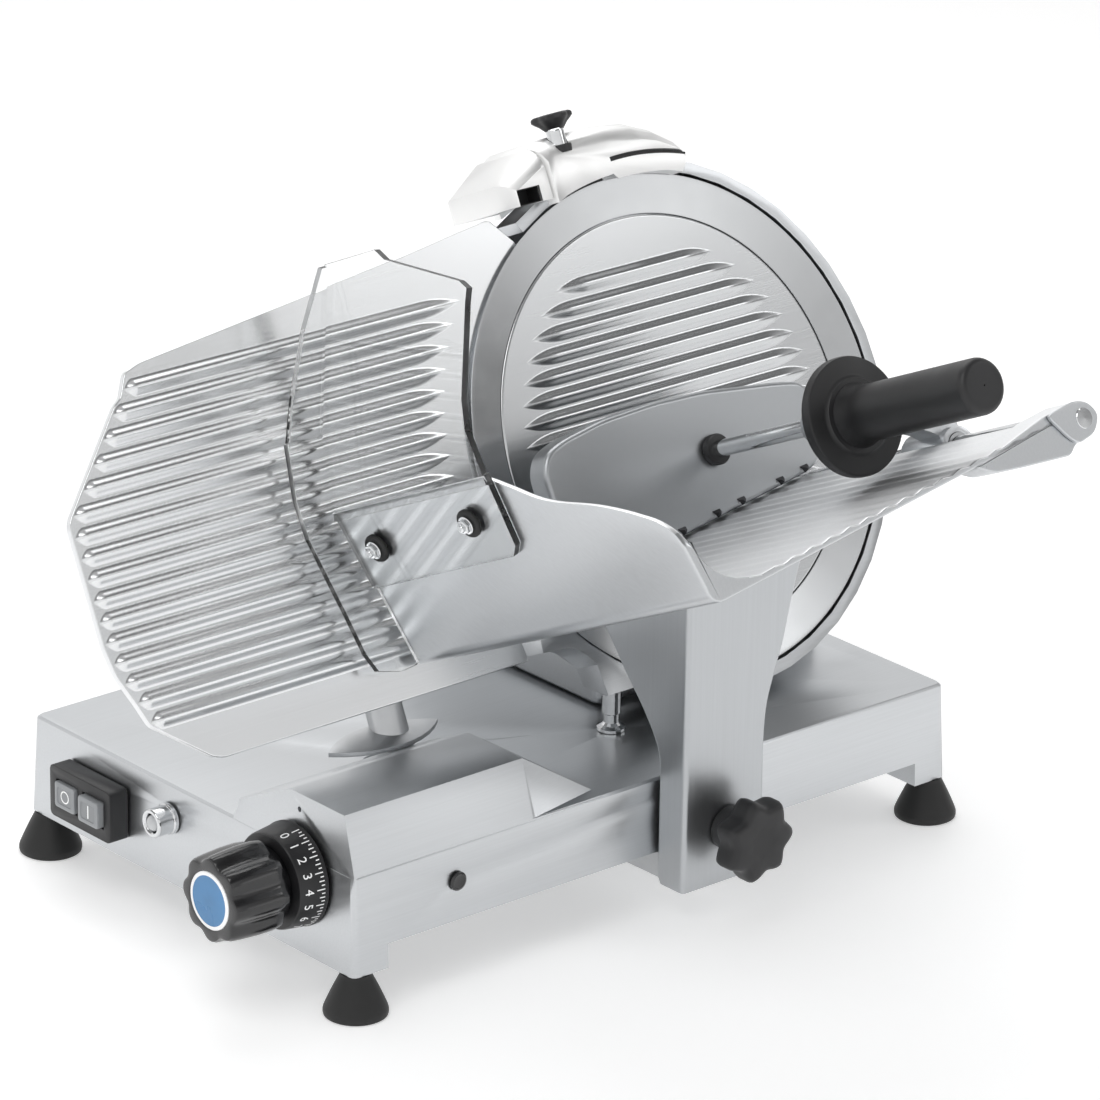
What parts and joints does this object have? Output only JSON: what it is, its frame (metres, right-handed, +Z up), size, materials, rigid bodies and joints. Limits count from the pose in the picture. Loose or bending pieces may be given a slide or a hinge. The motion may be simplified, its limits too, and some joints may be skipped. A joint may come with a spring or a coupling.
{
  "type": "deli meat slicer",
  "caption": "Gravity-feed deli meat slicer with tilted round blade, ribbed gauge plate, sliding food tray, press handle, thickness dial and clear hand guard.",
  "frame": {"origin": "on the table under the middle of the machine's bounding box", "axes": "+X along the carriage's travel, away from the dial end; -Y towards the operator; +Z up"},
  "size_m": [0.588, 0.4862, 0.417],
  "materials": {
    "cast_body": "satin brushed anodised casting",
    "ribbed_plate": "satin anodised with polished rib tops",
    "tray_metal": "brushed anodised casting",
    "inner_metal": "machined",
    "blade_steel": "ground and polished rim",
    "plain_steel": "turned",
    "chrome": "polished",
    "bronze": "plain bearing bronze",
    "black_matte": "fine grained black",
    "black_gloss": "glossy black",
    "dial_print": "black with white printed scale",
    "badge_blue": "blue disc with a white ring",
    "rubber_black": "black rubber",
    "switch_black": "black moulded",
    "button_grey": "grey translucent moulded",
    "lens_clear": "clear frosted lens",
    "clear_sheet": "clear polycarbonate sheet",
    "sharpener_white": "light silver white enamel",
    "abrasive": "bonded grinding grit",
    "motor_paint": "dark grey motor enamel",
    "capacitor_grey": "pale grey can"
  },
  "bodies": {
    "base": {"base_casting": "cast_body", "foot_front_left": "rubber_black", "foot_front_right": "rubber_black", "foot_back_left": "rubber_black", "foot_back_right": "rubber_black", "motor_housing": "cast_body", "blade_guard": "cast_body", "guard_post": "chrome", "blade_cover": "ribbed_plate", "blade_axle": "plain_steel", "drive_belt": "rubber_black", "motor_body": "motor_paint", "drive_plate": "inner_metal", "motor_capacitor": "capacitor_grey", "gauge_rod": "chrome", "switch_bezel": "switch_black", "lamp_ring": "chrome", "lamp_lens": "lens_clear", "front_plug": "black_gloss", "carriage_rod": "chrome"},
    "blade_rotor": {"blade": "blade_steel", "blade_pulley": "inner_metal", "bearing_front": "plain_steel", "bearing_rear": "plain_steel"},
    "motor_rotor": {"motor_shaft": "plain_steel"},
    "tie_knob": {"tie_rod": "plain_steel", "tie_rod_knob": "black_matte"},
    "dial": {"index_cam": "plain_steel", "dial_skirt": "dial_print", "dial_knob": "black_gloss", "dial_badge": "badge_blue"},
    "gauge": {"gauge_plate": "ribbed_plate", "gauge_bracket": "inner_metal"},
    "button_on": {"button_on": "button_grey"},
    "button_off": {"button_off": "button_grey"},
    "sharpener": {"sharpener_left": "sharpener_white", "sharpener_right": "sharpener_white"},
    "sharpener_knob": {"sharpener_knob": "black_matte"},
    "sharpener_button": {"sharpener_button": "chrome"},
    "stone_grind": {"stone_grind": "abrasive"},
    "stone_hone": {"stone_hone": "abrasive"},
    "carriage": {"carriage_column": "cast_body", "carriage_slider": "inner_metal", "bushing_left": "bronze", "bushing_right": "bronze", "tray": "tray_metal", "guide_rod": "chrome", "rod_end_cap": "tray_metal", "guard_sheet": "clear_sheet", "guard_screw_rear": "chrome", "guard_screw_front": "chrome", "guard_washer_rear": "rubber_black", "guard_washer_front": "rubber_black"},
    "column_knob": {"column_knob": "black_matte"},
    "press_slider": {"press_sleeve": "bronze"},
    "press": {"press_arm": "tray_metal", "press_plate": "tray_metal", "press_rod": "chrome", "handle_disc": "black_matte", "handle_grip": "black_matte"}
  },
  "joints": [
    {"name": "carriage_slide", "type": "slide", "parent": "base", "child": "carriage", "axis": [1, 0, 0], "range_m": [-0.19, 0.07]},
    {"name": "press_slide", "type": "slide", "parent": "carriage", "child": "press_slider", "axis": [0, -0.9063, 0.4226], "range_m": [-0.038, 0.078]},
    {"name": "press_swing", "type": "hinge", "parent": "press_slider", "child": "press", "pos_m": [0.18901, -0.11162, 0.25327], "axis": [0, 0.9063, -0.4226], "range_deg": [0, 60]},
    {"name": "dial_turn", "type": "hinge", "parent": "base", "child": "dial", "pos_m": [-0.2096, -0.026, 0.072], "axis": [1, 0, 0], "range_deg": [0, 330]},
    {"name": "gauge_slide", "type": "slide", "parent": "base", "child": "gauge", "axis": [0, 1, 0], "range_m": [0, 0.016]},
    {"name": "blade_spin", "type": "hinge", "parent": "base", "child": "blade_rotor", "pos_m": [0.135, 0.05537, 0.23277], "axis": [0, -0.9063, 0.4226], "continuous": true},
    {"name": "motor_spin", "type": "hinge", "parent": "base", "child": "motor_rotor", "pos_m": [0.16001, 0.06349, 0.13189], "axis": [0, -0.9063, 0.4226], "continuous": true},
    {"name": "button_on_push", "type": "slide", "parent": "base", "child": "button_on", "axis": [1, 0, 0], "range_m": [0, 0.0025], "stiffness_N_per_m": 400},
    {"name": "button_off_push", "type": "slide", "parent": "base", "child": "button_off", "axis": [1, 0, 0], "range_m": [0, 0.0025], "stiffness_N_per_m": 400},
    {"name": "sharpener_lift", "type": "slide", "parent": "base", "child": "sharpener", "axis": [0, 0.4226, 0.9063], "range_m": [0, 0.03]},
    {"name": "sharpener_knob_turn", "type": "hinge", "parent": "sharpener", "child": "sharpener_knob", "pos_m": [0.10501, 0.12721, 0.4034], "axis": [0, 0.4226, 0.9063], "continuous": true},
    {"name": "sharpener_button_push", "type": "slide", "parent": "sharpener", "child": "sharpener_button", "axis": [0, -0.4226, -0.9063], "range_m": [0, 0.002], "stiffness_N_per_m": 400},
    {"name": "stone_grind_spin", "type": "hinge", "parent": "sharpener", "child": "stone_grind", "pos_m": [0.066, 0.11969, 0.37546], "axis": [0, -0.9063, 0.4226], "continuous": true},
    {"name": "stone_hone_spin", "type": "hinge", "parent": "sharpener", "child": "stone_hone", "pos_m": [0.086, 0.10882, 0.38053], "axis": [0, -0.9063, 0.4226], "continuous": true},
    {"name": "column_knob_turn", "type": "hinge", "parent": "carriage", "child": "column_knob", "pos_m": [0.04441, -0.118, 0.0565], "axis": [0, -1, 0], "continuous": true},
    {"name": "tie_knob_turn", "type": "hinge", "parent": "base", "child": "tie_knob", "pos_m": [0.135, 0.22757, 0.15248], "axis": [0, -0.9063, 0.4226], "continuous": true}
  ],
  "couplings": [
    {"joint": "motor_spin", "follows": "blade_spin", "ratio": 3.2},
    {"joint": "gauge_slide", "follows": "dial_turn", "m_per_rad": 0.002778}
  ]
}
